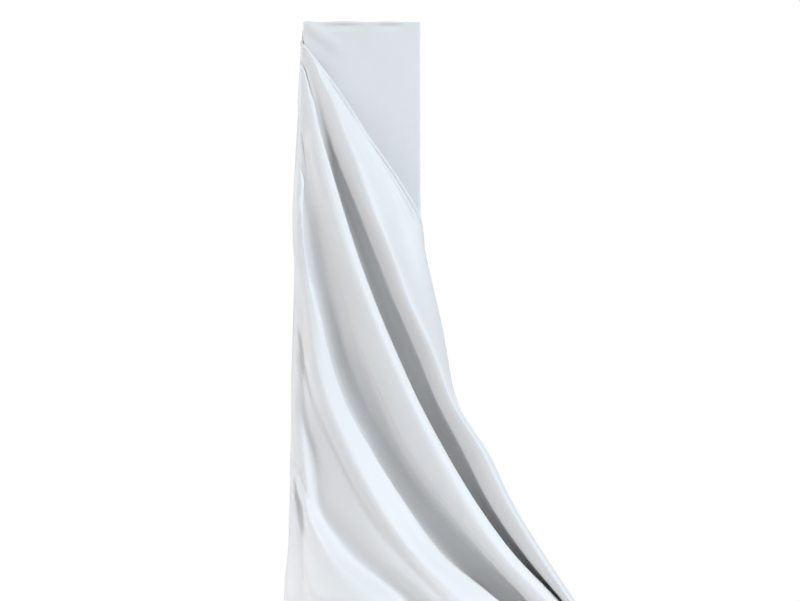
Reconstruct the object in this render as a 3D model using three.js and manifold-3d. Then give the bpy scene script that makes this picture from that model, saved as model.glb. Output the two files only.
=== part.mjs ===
// A draped display column: a square timber column in a fitted satin sleeve, with a lift-out lid, and a satin
// swag that is pleated under a small clamp strip near the top of the left side, falls in long folds across
// the front and trails over the floor to the right.
//
// Millimetres, +Z up. The origin is on the floor at the middle of the column, the front faces -Y.

import * as THREE from "three";
import { mergeVertices } from "three/addons/utils/BufferGeometryUtils.js";
import Module from "manifold-3d";

const wasm = await Module();
wasm.setup();

// Column
const COLUMN_WIDTH = 220; // over the sleeve, each way
const COLUMN_HEIGHT = 1200;
const HALF = COLUMN_WIDTH / 2;
const SLEEVE_THICK = 1.5;
const SLEEVE_EASE = 0.5; // between the sleeve and the panels
const SLEEVE_LIP = 15; // how far the sleeve turns in over the top, from its outside
const SLEEVE_FOOT = 4; // the sleeve's lower edge above the floor
const PANEL_THICK = 12;
const BATTEN_SIDE = 20;

// Base, from the floor up
const FELT_THICK = 3;
const FELT_SIDE = 200;
const PLATE_THICK = 8;
const PLATE_SIDE = 210;
const BASE_BOARD_THICK = 18;
const BASE_SCREW_SPACING = 130;

// Lid
const LID_THICK = 15;
const LID_SKIN = 1;
const LID_CLEARANCE = 1; // between the lid's skin and the sleeve's turned-in edge
const FINGER_HOLE_RADIUS = 15.5;
const FINGER_HOLE_BACK = 64; // from the lid's middle towards the back
const GROMMET_BORE_RADIUS = 13;
const GROMMET_FLANGE_RADIUS = 20;
const GROMMET_FLANGE_THICK = 1.2;

// Back closure of the sleeve
const PLACKET_WIDTH = 30;
const PLACKET_THICK = 1.2;

// Clamp strip over the swag's pleated head, on the left side
const STRIP_LENGTH = 84;
const STRIP_WIDTH = 12;
const STRIP_THICK = 0.8;
const STRIP_SCREW_SPACING = 31;
const SCREW_RADIUS = 1.5;
const SCREW_HEAD_RADIUS = 3.2;
const SCREW_HEAD_THICK = 1.1;
const SCREW_LENGTH = 13; // from under its head

const GAP = 0.3; // left between touching pieces that are cut or turned
const ROUND = 12; // facets round a base screw
const STRIP_SCREW_ROUND = 16;
const FINE_ROUND = 28; // facets round the finger hole

// Swag
const SWAG_THICK = 1.6;
const SWAG_CLEAR = 0.5; // least distance from the sleeve
const SWAG_FLOOR = 0.2; // least height over the floor

const CARCASS_HALF = HALF - SLEEVE_THICK - SLEEVE_EASE;
const PANELS_TOP = COLUMN_HEIGHT - SLEEVE_THICK;
const PANELS_FOOT = FELT_THICK + PLATE_THICK;
const INSIDE_HALF = CARCASS_HALF - PANEL_THICK;
const LID_UNDERSIDE = COLUMN_HEIGHT - LID_SKIN - LID_THICK;

const CORNERS = [
  ["front_left", -1, -1],
  ["front_right", 1, -1],
  ["back_left", -1, 1],
  ["back_right", 1, 1],
];

const COLOURS = {
  satin: { color: 0xe9edf2, roughness: 0.42, metalness: 0 },
  plywood: { color: 0xd8c09a, roughness: 0.75, metalness: 0 },
  softwood: { color: 0xd9b98a, roughness: 0.7, metalness: 0 },
  steel: { color: 0x5c6064, roughness: 0.5, metalness: 0.8 },
  zinc: { color: 0xb9bcc0, roughness: 0.35, metalness: 0.9 },
  whiteSteel: { color: 0xf0f1f2, roughness: 0.4, metalness: 0.1 },
  felt: { color: 0x77797c, roughness: 0.95, metalness: 0 },
};

const column = new THREE.Group();

function add(name, geometry, look, position = [0, 0, 0]) {
  const mesh = new THREE.Mesh(geometry, new THREE.MeshStandardMaterial(COLOURS[look]));
  mesh.name = name;
  mesh.position.set(...position);
  column.add(mesh);
  return mesh;
}

// Solid modelling with closed geometries

function solidOf(geometry) {
  const bare = geometry.clone();
  bare.deleteAttribute("normal");
  bare.deleteAttribute("uv");
  const merged = mergeVertices(bare, 1e-4);
  return new wasm.Manifold(
    new wasm.Mesh({
      numProp: 3,
      vertProperties: new Float32Array(merged.attributes.position.array),
      triVerts: new Uint32Array(merged.index.array),
    }),
  );
}

function geometryOf(solid) {
  const mesh = solid.getMesh();
  const geometry = new THREE.BufferGeometry();
  geometry.setAttribute("position", new THREE.BufferAttribute(new Float32Array(mesh.vertProperties), 3));
  geometry.setIndex(new THREE.BufferAttribute(new Uint32Array(mesh.triVerts), 1));
  geometry.computeVertexNormals();
  return geometry;
}

function cut(geometry, tools) {
  return geometryOf(tools.reduce((solid, tool) => solid.subtract(solidOf(tool)), solidOf(geometry)));
}

// A square ring about the Z axis: profile points are [half width, z].
function squareRing(profile) {
  const points = profile.map(([half, z]) => new THREE.Vector2(half * Math.SQRT2, z));
  points.push(points[0].clone());
  return new THREE.LatheGeometry(points, 4, Math.PI / 4).rotateX(Math.PI / 2);
}

// A round solid about the Z axis: profile points are [radius, z], from the axis back to the axis.
function turned(profile, facets) {
  const points = profile.map(([r, z]) => new THREE.Vector2(r, z));
  return new THREE.LatheGeometry(points, facets).rotateX(Math.PI / 2);
}

function block(x, y, z) {
  return new THREE.BoxGeometry(x, y, z);
}

// Column carcass

function buildBase() {
  add("felt_pad", block(FELT_SIDE, FELT_SIDE, FELT_THICK), "felt", [0, 0, FELT_THICK / 2]);

  const shankRadius = 2.4;
  const headRadius = 5;
  const headDepth = 2.8;
  const screwFoot = FELT_THICK + GAP;
  const screwTip = PANELS_FOOT + BASE_BOARD_THICK - 4;
  const screw = (ease) => {
    const profile = [
      [0, screwFoot - ease],
      [headRadius + ease, screwFoot - ease],
      [shankRadius + ease, screwFoot + headDepth],
      [shankRadius + ease, screwTip + ease],
      [0, screwTip + ease],
    ];
    return turned(profile, ROUND);
  };
  const half = BASE_SCREW_SPACING / 2;
  const places = CORNERS.map(([name, x, y]) => [name, x * half, y * half]);
  const holes = places.map(([, x, y]) => screw(GAP).translate(x, y, 0));

  const plate = block(PLATE_SIDE, PLATE_SIDE, PLATE_THICK).translate(0, 0, FELT_THICK + PLATE_THICK / 2);
  add("base_plate", cut(plate, holes), "steel");
  const inside = 2 * INSIDE_HALF;
  const board = block(inside, inside, BASE_BOARD_THICK).translate(0, 0, PANELS_FOOT + BASE_BOARD_THICK / 2);
  add("base_board", cut(board, holes), "plywood");
  for (const [name, x, y] of places) add("base_screw_" + name, screw(0), "zinc", [x, y, 0]);
}

function buildPanels(sideHoles) {
  const height = PANELS_TOP - PANELS_FOOT;
  const middle = PANELS_FOOT + height / 2;
  const wide = block(2 * CARCASS_HALF, PANEL_THICK, height);
  const narrow = block(PANEL_THICK, 2 * INSIDE_HALF, height);
  const offset = CARCASS_HALF - PANEL_THICK / 2;
  add("front_panel", wide, "plywood", [0, -offset, middle]);
  add("back_panel", wide, "plywood", [0, offset, middle]);
  add("left_panel", cut(narrow.clone().translate(-offset, 0, middle), sideHoles), "plywood");
  add("right_panel", narrow, "plywood", [offset, 0, middle]);

  const foot = PANELS_FOOT + BASE_BOARD_THICK;
  const length = LID_UNDERSIDE - foot;
  const at = INSIDE_HALF - BATTEN_SIDE / 2;
  for (const [name, x, y] of CORNERS) {
    const place = [x * at, y * at, foot + length / 2];
    add("batten_" + name, block(BATTEN_SIDE, BATTEN_SIDE, length), "softwood", place);
  }
}

function buildLid() {
  const skinHalf = HALF - SLEEVE_LIP - LID_CLEARANCE;
  const boardHalf = skinHalf - LID_SKIN;
  const boardTop = COLUMN_HEIGHT - LID_SKIN;
  const skinFoot = LID_UNDERSIDE + 3;
  const recessFoot = boardTop - GROMMET_FLANGE_THICK + LID_SKIN - 2 * GAP;
  const hole = turned([
    [0, LID_UNDERSIDE - 5],
    [FINGER_HOLE_RADIUS, LID_UNDERSIDE - 5],
    [FINGER_HOLE_RADIUS, recessFoot],
    [GROMMET_FLANGE_RADIUS + GAP, recessFoot],
    [GROMMET_FLANGE_RADIUS + GAP, COLUMN_HEIGHT + 5],
    [0, COLUMN_HEIGHT + 5],
  ], FINE_ROUND).translate(0, FINGER_HOLE_BACK, 0);
  const board = block(2 * boardHalf, 2 * boardHalf, LID_THICK).translate(0, 0, boardTop - LID_THICK / 2);
  add("lid_board", cut(board, [hole]), "plywood");

  const outside = block(2 * skinHalf, 2 * skinHalf, COLUMN_HEIGHT - skinFoot);
  outside.translate(0, 0, (COLUMN_HEIGHT + skinFoot) / 2);
  add("lid_cover", cut(outside, [board, hole]), "satin");

  const barrel = FINGER_HOLE_RADIUS - GAP;
  const flangeFoot = recessFoot + GAP;
  const flangeTop = flangeFoot + GROMMET_FLANGE_THICK;
  const foot = LID_UNDERSIDE + 1;
  const grommet = [
    [GROMMET_BORE_RADIUS, foot],
    [barrel, foot],
    [barrel, flangeFoot],
    [GROMMET_FLANGE_RADIUS, flangeFoot],
    [GROMMET_FLANGE_RADIUS - 0.6, flangeTop],
    [GROMMET_BORE_RADIUS + 1, flangeTop],
    [GROMMET_BORE_RADIUS, flangeTop - 1],
    [GROMMET_BORE_RADIUS, foot],
  ];
  add("lid_grommet", turned(grommet, FINE_ROUND), "zinc", [0, FINGER_HOLE_BACK, 0]);
}

function buildSleeve(sideHoles) {
  const inside = HALF - SLEEVE_THICK;
  const sleeve = squareRing([
    [inside, SLEEVE_FOOT],
    [HALF, SLEEVE_FOOT],
    [HALF, COLUMN_HEIGHT],
    [HALF - SLEEVE_LIP, COLUMN_HEIGHT],
    [HALF - SLEEVE_LIP, PANELS_TOP],
    [inside, PANELS_TOP],
  ]);
  add("fitted_sleeve", cut(sleeve, sideHoles), "satin");
  const height = COLUMN_HEIGHT - 2 * SLEEVE_FOOT;
  const placket = block(PLACKET_WIDTH, PLACKET_THICK, height);
  add("back_placket", placket, "satin", [0, HALF + GAP + PLACKET_THICK / 2, SLEEVE_FOOT + height / 2]);
}

// The swag's head: a slanting line on the left side, given as places on that side, [y, z].
const HEAD_FRONT = [-45, 1180]; // where the swag's upper edge leaves the strip
const HEAD_BACK = [-10, 1112]; // where the hanging edge leaves it
const HEAD_LIFT = 2.2; // the head's outer surface over the sleeve
const TAIL = 11; // how far the head runs on under the strip

function headFrame() {
  const along = new THREE.Vector2(HEAD_BACK[0] - HEAD_FRONT[0], HEAD_BACK[1] - HEAD_FRONT[1]).normalize();
  return { along, behind: new THREE.Vector2(-along.y, along.x) };
}

// A place on the head: share 0 at its front end and 1 at its back end, and back is how far behind its line.
function headPoint(share, back) {
  const { behind } = headFrame();
  const y = THREE.MathUtils.lerp(HEAD_FRONT[0], HEAD_BACK[0], share) + behind.x * back;
  const z = THREE.MathUtils.lerp(HEAD_FRONT[1], HEAD_BACK[1], share) + behind.y * back;
  return new THREE.Vector3(-HALF - HEAD_LIFT, y, z);
}

const STRIP_FACE = -HALF - HEAD_LIFT - GAP - STRIP_THICK;
const STRIP_SHIFTS = [
  ["front", -STRIP_SCREW_SPACING],
  ["middle", 0],
  ["back", STRIP_SCREW_SPACING],
];

// Moves a piece made about the X axis to the strip, shift along it from its middle.
function toStrip(geometry, shift) {
  const { along } = headFrame();
  const middle = headPoint(0.5, STRIP_WIDTH / 2 + 1);
  const angle = Math.atan2(along.y, along.x);
  return geometry.translate(0, shift, 0).rotateX(angle).translate(0, middle.y, middle.z);
}

// A pan head screw lying along X, its head outside the strip and its tip in the left panel.
function stripScrew() {
  const profile = [
    [0, -SCREW_HEAD_THICK],
    [SCREW_HEAD_RADIUS - 0.7, -SCREW_HEAD_THICK],
    [SCREW_HEAD_RADIUS, 0],
    [SCREW_RADIUS, 0],
    [SCREW_RADIUS, SCREW_LENGTH],
    [0, SCREW_LENGTH],
  ];
  return turned(profile, STRIP_SCREW_ROUND).rotateY(Math.PI / 2).translate(STRIP_FACE - GAP, 0, 0);
}

function screwHole() {
  const radius = SCREW_RADIUS + GAP;
  const profile = [
    [0, -SCREW_HEAD_THICK],
    [radius, -SCREW_HEAD_THICK],
    [radius, SCREW_LENGTH + GAP],
    [0, SCREW_LENGTH + GAP],
  ];
  return turned(profile, STRIP_SCREW_ROUND).rotateY(Math.PI / 2).translate(STRIP_FACE - GAP, 0, 0);
}

function screwHoles() {
  return STRIP_SHIFTS.map(([, shift]) => toStrip(screwHole(), shift));
}

function buildStrip() {
  const strip = block(STRIP_THICK, STRIP_LENGTH, STRIP_WIDTH).translate(STRIP_FACE + STRIP_THICK / 2, 0, 0);
  add("clamp_strip", cut(toStrip(strip, 0), screwHoles()), "whiteSteel");
  for (const [name, shift] of STRIP_SHIFTS) {
    add("clamp_screw_" + name, toStrip(stripScrew(), shift), "whiteSteel");
  }
}

// The swag is lofted over guide lines that all start at the head. A crossing line comes round the front left
// corner at its start, [z, lift], and its knots are [z, x, lift] on the front. It ends on the floor at land,
// and lies rise high there. lift is the distance out from the side.
const CROSSING_LINES = [
  {
    name: "upper_edge", head: 0, start: [1157, 2.2], land: [725, 128], rise: 1,
    knots: [[1050, -28, 2.4], [942, 44, 2.4], [846, 105, 2.4], [740, 122, -24], [640, 138, -48],
      [480, 172, -82], [300, 250, -125], [123, 355, -165]],
  },
  {
    name: "layer", head: 0.035, start: [1154, 3.5], land: [755, 84], rise: 2,
    knots: [[1050, -36, 8], [941, 32, 9], [800, 106, 8], [677, 142, -1], [536, 167, -15], [395, 214, -45],
      [207, 320, -78], [123, 374, -88]],
  },
  {
    name: "first_slope", head: 0.065, start: [1151, 4.5], land: [796, -20], rise: 22,
    knots: [[1053, -40, 8], [941, 25, 10], [865, 58, 13], [771, 79, 24], [677, 111, 36], [583, 146, 50],
      [489, 178, 60], [395, 238, 64], [301, 283, 68], [123, 396, 74]],
  },
  {
    name: "first_crest", head: 0.095, start: [1147, 5], land: [796, -48], rise: 32,
    knots: [[1053, -58, 23], [941, -13, 41], [865, 12, 49], [771, 54, 57], [583, 131, 70], [395, 224, 81],
      [207, 330, 91], [123, 386, 93]],
  },
  {
    name: "first_lip", head: 0.125, start: [1136, 4.5], land: [800, -92], rise: 14,
    knots: [[1053, -82, 10], [941, -45, 20], [865, -14, 27], [677, 60, 38], [489, 140, 49], [301, 237, 59],
      [123, 370, 69]],
  },
  {
    name: "first_valley", head: 0.15, start: [1128, 4], land: [800, -118], rise: 3,
    knots: [[1053, -87, 9], [941, -55, 8], [865, -28, 6], [677, 40, 6], [489, 121, 8], [301, 225, 12],
      [123, 367, 12]],
  },
  {
    name: "second_edge", head: 0.18, start: [1112, 4.5], land: [796, -146], rise: 24,
    knots: [[1053, -91, 12], [941, -62, 22], [865, -39.5, 29], [677, 24.5, 42], [489, 107, 51],
      [301, 213, 59], [123, 364, 67]],
  },
  {
    name: "second_crest", head: 0.23, start: [1060, 9], land: [778, -182], rise: 26,
    knots: [[941, -84, 28], [865, -62, 37], [677, 1, 52], [489, 83, 64], [301, 190, 74], [123, 338, 84]],
  },
  {
    name: "second_lip", head: 0.29, start: [985, 11], land: [756, -208], rise: 16,
    knots: [[865, -78, 26], [771, -51, 34], [583, 1, 45], [489, 40, 49], [395, 85, 53], [207, 226, 64],
      [123, 306, 69]],
  },
  {
    name: "second_foot", head: 0.4, start: [965, 8], land: [724, -244], rise: 2,
    knots: [[865, -104, 12], [771, -94, 9], [677, -72, 8], [489, -20, 8], [301, 92, 10], [123, 264, 12]],
  },
  {
    name: "third_edge", head: 0.45, start: [900, 14], land: [692, -272], rise: 18,
    knots: [[865, -110, 17], [771, -103, 21], [677, -82, 27], [489, -31, 39], [395, 20, 46], [207, 149, 60],
      [123, 251, 66]],
  },
  {
    name: "third_crest", head: 0.51, start: [740, 24], land: [644, -295], rise: 26,
    knots: [[583, -98, 47], [489, -71, 60], [395, -31, 70], [301, 21, 80], [207, 92, 90], [123, 176, 98]],
  },
  {
    name: "third_crease", head: 0.56, start: [610, 16], land: [582, -314], rise: 13,
    knots: [[489, -86, 38], [395, -46, 50], [301, 4, 60], [207, 68, 70], [123, 148, 79]],
  },
  {
    name: "third_foot", head: 0.635, start: [500, 20], land: [442, -330], rise: 3,
    knots: [[440, -103, 18], [350, -84, 18], [301, -77, 18], [207, -6, 20], [123, 98, 24]],
  },
  {
    name: "fourth_edge", head: 0.665, start: [450, 24], land: [398, -336], rise: 18,
    knots: [[395, -104, 30], [350, -97, 34], [301, -86, 41], [207, -15, 53], [123, 86, 65]],
  },
  {
    name: "fourth_crest", head: 0.7, start: [352, 27], land: [300, -344], rise: 24,
    knots: [[301, -103, 40], [207, -50, 62], [123, 40, 78]],
  },
  {
    name: "left_crease", head: 0.74, start: [290, 21], land: [128, -326], rise: 8,
    knots: [[207, -104, 26], [160, -93, 34], [123, -76, 42]],
  },
  {
    name: "fifth_crest", head: 0.78, start: [240, 27], land: [8, -294], rise: 18,
    knots: [[160, -104, 28], [123, -100, 34]],
  },
];

// Lines that stay on the left side: knots are [z, y, lift].
const SIDE_LINES = [
  { name: "corner_valley", head: 0.82, knots: [[420, -96, 11], [100, -106, 24], [5, -112, 46]] },
  { name: "side_ridge", head: 0.865, knots: [[420, -72, 22], [100, -78, 34], [5, -84, 54]] },
  { name: "side_valley", head: 0.91, knots: [[420, -45, 6], [100, -46, 12], [5, -46, 24]] },
  { name: "back_ridge", head: 0.955, knots: [[420, -18, 17], [100, -12, 28], [5, -10, 42]] },
  { name: "hanging_edge", head: 1, knots: [[420, 6, 7], [100, 12, 12], [5, 16, 22]] },
];

const CORNER = 10; // either way of the corner, a line turns round it
const KNEE = 123; // the height where the lines leave the front for the floor
const FLARE_FROM = 300; // below this height the swag stands further out towards the floor
const FLARE = 55;
const FRONT_STEPS = 8; // guide points on the front, from a line's start to the knee
const SIDE_LEVELS = [420, 330, 245, 215, 190, 165, 140, 115, 90, 65, 42, 24, 12, 4];

// A value between knots, [z, ...values] from the top down, at the height z.
function between(knots, z, which) {
  const below = knots.findIndex((knot) => knot[0] <= z);
  if (below === 0) return knots[0][which];
  if (below < 0) return knots[knots.length - 1][which];
  const [upper, lower] = [knots[below - 1], knots[below]];
  return THREE.MathUtils.mapLinear(z, upper[0], lower[0], upper[which], lower[which]);
}

function flareAt(z) {
  return FLARE * (Math.max(0, FLARE_FROM - z) / FLARE_FROM) ** 2;
}

function crossingPoints(line) {
  const [start, startLift] = line.start;
  const knots = [[start, -HALF, startLift], ...line.knots];
  const head = headPoint(line.head, 0);
  const drop = ((head.z - start) * CORNER) / (head.y + HALF + 2 * CORNER);
  const lift = (share) => THREE.MathUtils.lerp(HEAD_LIFT, startLift, share);
  const points = [headPoint(line.head, TAIL), head];
  points.push(new THREE.Vector3(-HALF - lift(0.9), -HALF, start + 2 * drop));
  const turning = HALF + lift(0.95) * Math.SQRT1_2;
  points.push(new THREE.Vector3(-turning, -turning, start + drop));
  for (let i = 0; i <= FRONT_STEPS; i++) {
    const z = THREE.MathUtils.lerp(start, KNEE, i / FRONT_STEPS);
    points.push(new THREE.Vector3(between(knots, z, 1), -HALF - between(knots, z, 2) - flareAt(z), z));
  }
  const knee = points[points.length - 1];
  const slope = (knee.x - points[points.length - 2].x) / ((start - KNEE) / FRONT_STEPS);
  const touch = new THREE.Vector3(knee.x + slope * (KNEE - 22), knee.y - 14, 9 + line.rise);
  const end = new THREE.Vector3(...line.land, 3 + line.rise * 0.3);
  points.push(touch);
  points.push(touch.clone().lerp(end, 0.45).setZ(4 + line.rise * 0.8));
  points.push(end);
  return points;
}

function sidePoints(line) {
  const points = [headPoint(line.head, TAIL), headPoint(line.head, 0)];
  for (const z of SIDE_LEVELS)
    points.push(new THREE.Vector3(-HALF - between(line.knots, z, 2), between(line.knots, z, 1), z));
  return points;
}

// Rows between one guide point and the next, down the cloth.
const ROWS = [1, 6, 1, 1, 2, 2, 2, 3, 3, 3, 3, 2, 2, 2, 2];
const COLUMNS_BETWEEN = 2;

function rowPlaces() {
  const places = [];
  ROWS.forEach((count, i) => {
    for (let k = 0; k < count; k++) places.push((i + k / count) / ROWS.length);
  });
  return [...places, 1];
}

// Moves a point out of the column, and of the floor, by the given distance.
function keepOut(point, distance) {
  const reach = HALF + distance;
  const outside = Math.max(Math.abs(point.x), Math.abs(point.y)) - reach;
  if (outside < 0 && point.z < COLUMN_HEIGHT + 5) {
    const [axis, sign] = [
      ["x", -1, point.x + reach],
      ["x", 1, reach - point.x],
      ["y", -1, point.y + reach],
    ].reduce((best, side) => (side[2] < best[2] ? side : best));
    point[axis] = sign * reach;
  }
  point.z = Math.max(point.z, distance < SWAG_THICK ? SWAG_FLOOR : SWAG_FLOOR + SWAG_THICK);
  return point;
}

function smoothCurve(points) {
  return new THREE.CatmullRomCurve3(points, false, "centripetal");
}

// The outer surface as rows of points, from the swag's upper edge to its hanging edge in each row.
function swagGrid() {
  const guides = [...CROSSING_LINES.map(crossingPoints), ...SIDE_LINES.map(sidePoints)];
  const curves = guides.map(smoothCurve);
  return rowPlaces().map((place) =>
    smoothCurve(curves.map((curve) => curve.getPoint(place)))
      .getPoints((curves.length - 1) * COLUMNS_BETWEEN)
      .map((point) => keepOut(point, SWAG_CLEAR + SWAG_THICK)),
  );
}

// The direction out of the cloth at each point of the grid.
function outward(grid, i, j) {
  const rowStep = grid[Math.min(i + 1, grid.length - 1)][j].clone().sub(grid[Math.max(i - 1, 0)][j]);
  const row = grid[i];
  const columnStep = row[Math.min(j + 1, row.length - 1)].clone().sub(row[Math.max(j - 1, 0)]);
  return columnStep.cross(rowStep).normalize();
}

function buildSwag(sideHoles) {
  const grid = swagGrid();
  const [rows, columns] = [grid.length, grid[0].length];
  const inwards = (point, i, j) => point.clone().addScaledVector(outward(grid, i, j), -SWAG_THICK);
  const inner = grid.map((row, i) => row.map((point, j) => keepOut(inwards(point, i, j), SWAG_CLEAR)));
  const positions = [...grid, ...inner].flatMap((row) => row.flatMap((point) => point.toArray()));
  const index = [];
  const outerAt = (i, j) => i * columns + j;
  const innerAt = (i, j) => rows * columns + outerAt(i, j);
  const quad = (a, b, c, d) => index.push(a, c, b, a, d, c);
  for (let i = 0; i + 1 < rows; i++)
    for (let j = 0; j + 1 < columns; j++) {
      quad(outerAt(i, j), outerAt(i + 1, j), outerAt(i + 1, j + 1), outerAt(i, j + 1));
      quad(innerAt(i, j), innerAt(i, j + 1), innerAt(i + 1, j + 1), innerAt(i + 1, j));
    }
  for (let i = 0; i + 1 < rows; i++) {
    quad(outerAt(i, 0), innerAt(i, 0), innerAt(i + 1, 0), outerAt(i + 1, 0));
    const last = columns - 1;
    quad(outerAt(i, last), outerAt(i + 1, last), innerAt(i + 1, last), innerAt(i, last));
  }
  for (let j = 0; j + 1 < columns; j++) {
    quad(outerAt(0, j), outerAt(0, j + 1), innerAt(0, j + 1), innerAt(0, j));
    const last = rows - 1;
    quad(outerAt(last, j), innerAt(last, j), innerAt(last, j + 1), outerAt(last, j + 1));
  }
  const geometry = new THREE.BufferGeometry();
  geometry.setAttribute("position", new THREE.Float32BufferAttribute(positions, 3));
  geometry.setIndex(index);
  geometry.computeVertexNormals();
  const side = COLUMN_WIDTH + 2 * GAP;
  const room = block(side, side, COLUMN_HEIGHT).translate(0, 0, COLUMN_HEIGHT / 2);
  const trimmed = solidOf(cut(geometry, [room, ...sideHoles])).simplify(0.02);
  add("swag", geometryOf(trimmed), "satin");
}

const sideHoles = screwHoles();
buildBase();
buildPanels(sideHoles);
buildLid();
buildSleeve(sideHoles);
buildStrip();
buildSwag(sideHoles);

export default column;
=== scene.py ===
"""Looks for a draped display column: a satin swag in long folds, a fitted satin sleeve and a lift-out lid."""

import math

import bmesh
import bpy
import numpy as np
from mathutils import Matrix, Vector, noise


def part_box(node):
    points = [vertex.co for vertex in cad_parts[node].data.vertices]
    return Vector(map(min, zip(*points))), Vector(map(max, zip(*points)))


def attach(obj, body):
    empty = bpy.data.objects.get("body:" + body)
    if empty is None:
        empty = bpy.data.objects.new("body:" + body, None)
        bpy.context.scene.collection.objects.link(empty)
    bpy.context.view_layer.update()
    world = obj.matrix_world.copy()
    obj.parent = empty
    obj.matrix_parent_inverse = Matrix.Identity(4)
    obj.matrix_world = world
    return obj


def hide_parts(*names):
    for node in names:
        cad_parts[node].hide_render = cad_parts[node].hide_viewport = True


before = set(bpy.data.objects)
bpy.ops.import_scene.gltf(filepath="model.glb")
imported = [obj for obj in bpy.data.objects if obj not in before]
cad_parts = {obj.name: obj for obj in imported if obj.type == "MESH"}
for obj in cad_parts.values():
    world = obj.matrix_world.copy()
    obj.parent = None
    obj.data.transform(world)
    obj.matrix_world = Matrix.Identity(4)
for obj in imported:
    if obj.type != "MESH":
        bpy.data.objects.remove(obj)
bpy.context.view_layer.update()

MM = 0.001
SLEEVE_LOW, SLEEVE_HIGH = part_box("fitted_sleeve")
HALF = SLEEVE_HIGH.x / MM  # half the column's width over its sleeve, in millimetres
TOP = SLEEVE_HIGH.z / MM  # the column's height in millimetres
FRONT = -HALF  # the front face's y, and the left face's x

# -------------------------------------------- camera

CAMERA_DISTANCE = 6.0  # from the front face
CAMERA_AIM = Vector((0.072, FRONT * MM, 0.676))
VIEW_WIDTH = 1.504  # what the picture spans at the front face
SENSOR = 36.0


def make_camera():
    data = bpy.data.cameras.new("camera")
    data.sensor_width = SENSOR
    data.lens = SENSOR * CAMERA_DISTANCE / VIEW_WIDTH
    data.clip_end = 50
    camera = bpy.data.objects.new("camera", data)
    camera.location = CAMERA_AIM + Vector((0, -CAMERA_DISTANCE, 0))
    camera.rotation_euler = (math.pi / 2, 0, 0)
    bpy.context.scene.collection.objects.link(camera)
    bpy.context.scene.camera = camera


# -------------------------------------------- meshes


def link_mesh(name, vertices, faces):
    mesh = bpy.data.meshes.new(name)
    mesh.from_pydata([tuple(v) for v in vertices], [], faces)
    mesh.validate()
    mesh.shade_smooth()
    piece = bpy.data.objects.new(name, mesh)
    bpy.context.scene.collection.objects.link(piece)
    return piece


def grid_faces(rows, columns, start=0, flip=False):
    faces = []
    for i in range(rows - 1):
        for j in range(columns - 1):
            a = start + i * columns + j
            quad = (a, a + columns, a + columns + 1, a + 1)
            faces.append(quad[::-1] if flip else quad)
    return faces


def set_uv(piece, vertex_uv):
    """Gives each vertex its place on the flat cloth, in metres."""
    layer = piece.data.uv_layers.new(name="cloth")
    loops = np.empty(len(piece.data.loops), dtype=np.int32)
    piece.data.loops.foreach_get("vertex_index", loops)
    layer.data.foreach_set("uv", np.asarray(vertex_uv)[loops].astype(np.float32).ravel())


def outward_faces(piece):
    shape = bmesh.new()
    shape.from_mesh(piece.data)
    bmesh.ops.recalc_face_normals(shape, faces=shape.faces)
    shape.to_mesh(piece.data)
    shape.free()


def tube_faces(rows, count, start=0):
    """The faces of a tube of rings with count points each, closed at both ends."""
    faces = []
    for i in range(rows - 1):
        for j in range(count):
            a, b = start + i * count + j, start + i * count + (j + 1) % count
            faces.append((a, b, b + count, a + count))
    last = start + rows * count
    faces.append(tuple(range(start, start + count)))
    faces.append(tuple(range(last - 1, last - count - 1, -1)))
    return faces


# -------------------------------------------- splines


def spline(points, counts):
    """Centripetal Catmull-Rom curves through points, whose first axis runs along the curve. counts gives the
    steps in each interval, as one number or a list."""
    points = np.asarray(points, dtype=float)
    spans = len(points) - 1
    counts = [counts] * spans if np.isscalar(counts) else counts
    padded = np.concatenate([[2 * points[0] - points[1]], points, [2 * points[-1] - points[-2]]])
    steps = np.linalg.norm(np.diff(padded, axis=0), axis=-1, keepdims=True) ** 0.5 + 1e-6
    knots = np.concatenate([np.zeros_like(steps[:1]), np.cumsum(steps, axis=0)])
    made = []
    for k in range(spans):
        p0, p1, p2, p3 = padded[k : k + 4]
        t0, t1, t2, t3 = knots[k : k + 4]
        for i in range(counts[k]):
            t = t1 + (t2 - t1) * i / counts[k]
            a = (t1 - t) / (t1 - t0) * p0 + (t - t0) / (t1 - t0) * p1
            b = (t2 - t) / (t2 - t1) * p1 + (t - t1) / (t2 - t1) * p2
            c = (t3 - t) / (t3 - t2) * p2 + (t - t2) / (t3 - t2) * p3
            d = (t2 - t) / (t2 - t0) * a + (t - t0) / (t2 - t0) * b
            e = (t3 - t) / (t3 - t1) * b + (t - t1) / (t3 - t1) * c
            made.append((t2 - t) / (t2 - t1) * d + (t - t1) / (t2 - t1) * e)
    made.append(points[-1])
    return np.array(made)


def smooth_values(knots, at):
    """A smooth curve of values through a few (place, value) knots, read at the places asked for. It passes
    no knot's value between two knots (Fritsch-Carlson slopes)."""
    knots = sorted(knots)
    x = np.array([k[0] for k in knots], dtype=float)
    y = np.array([k[1] for k in knots], dtype=float)
    step = np.diff(x)
    slope = np.diff(y) / step
    tangent = np.empty_like(y)
    tangent[0], tangent[-1] = slope[0], slope[-1]
    for i in range(1, len(y) - 1):
        if slope[i - 1] * slope[i] <= 0:
            tangent[i] = 0
        else:
            w1, w2 = 2 * step[i] + step[i - 1], step[i] + 2 * step[i - 1]
            tangent[i] = (w1 + w2) / (w1 / slope[i - 1] + w2 / slope[i])
    at = np.clip(np.asarray(at, dtype=float), x[0], x[-1])
    i = np.clip(np.searchsorted(x, at) - 1, 0, len(x) - 2)
    t = (at - x[i]) / step[i]
    h00, h10 = 2 * t**3 - 3 * t**2 + 1, t**3 - 2 * t**2 + t
    h01, h11 = -2 * t**3 + 3 * t**2, t**3 - t**2
    return h00 * y[i] + h10 * step[i] * tangent[i] + h01 * y[i + 1] + h11 * step[i] * tangent[i + 1]


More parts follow.
